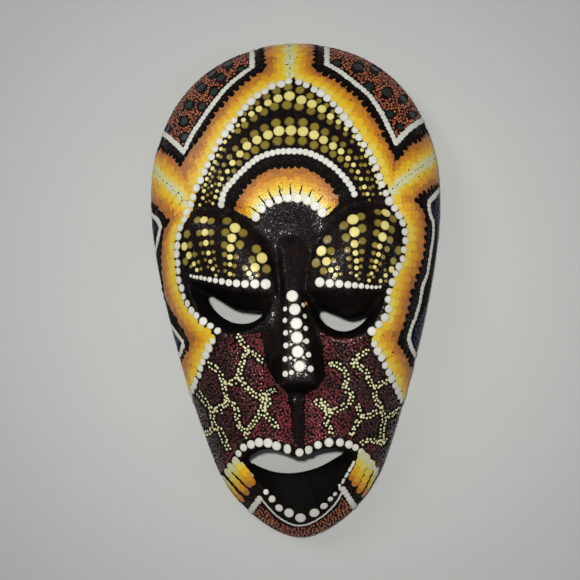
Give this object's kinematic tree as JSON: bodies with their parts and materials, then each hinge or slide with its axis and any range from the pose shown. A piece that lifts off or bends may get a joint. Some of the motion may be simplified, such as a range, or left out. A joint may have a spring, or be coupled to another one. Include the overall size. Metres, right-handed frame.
{
  "type": "wooden wall mask",
  "caption": "Long egg-shaped carved wooden face mask with lowered eyelids, pierced eyes, open mouth, hollow back and painted dot pattern.",
  "frame": {"origin": "middle of the flat back rim's bounding box, on the plane of the rim", "axes": "+Z out of the face, +Y to the top of the head, +X to the viewer's right; the mask lies on its back rim"},
  "size_m": [0.1768, 0.3, 0.0526],
  "materials": {
    "painted_wood": "black gloss paint over carved wood",
    "white_paint": "white acrylic paint dots",
    "cream_paint": "cream yellow acrylic paint dots",
    "olive_paint": "olive gold acrylic paint dots",
    "yellow_paint": "yellow acrylic paint dots",
    "orange_paint": "orange acrylic paint dots",
    "red_paint": "red orange acrylic paint dots",
    "maroon_paint": "maroon acrylic paint dots"
  },
  "bodies": {
    "root": {"mask": "painted_wood"}
  },
  "joints": []
}
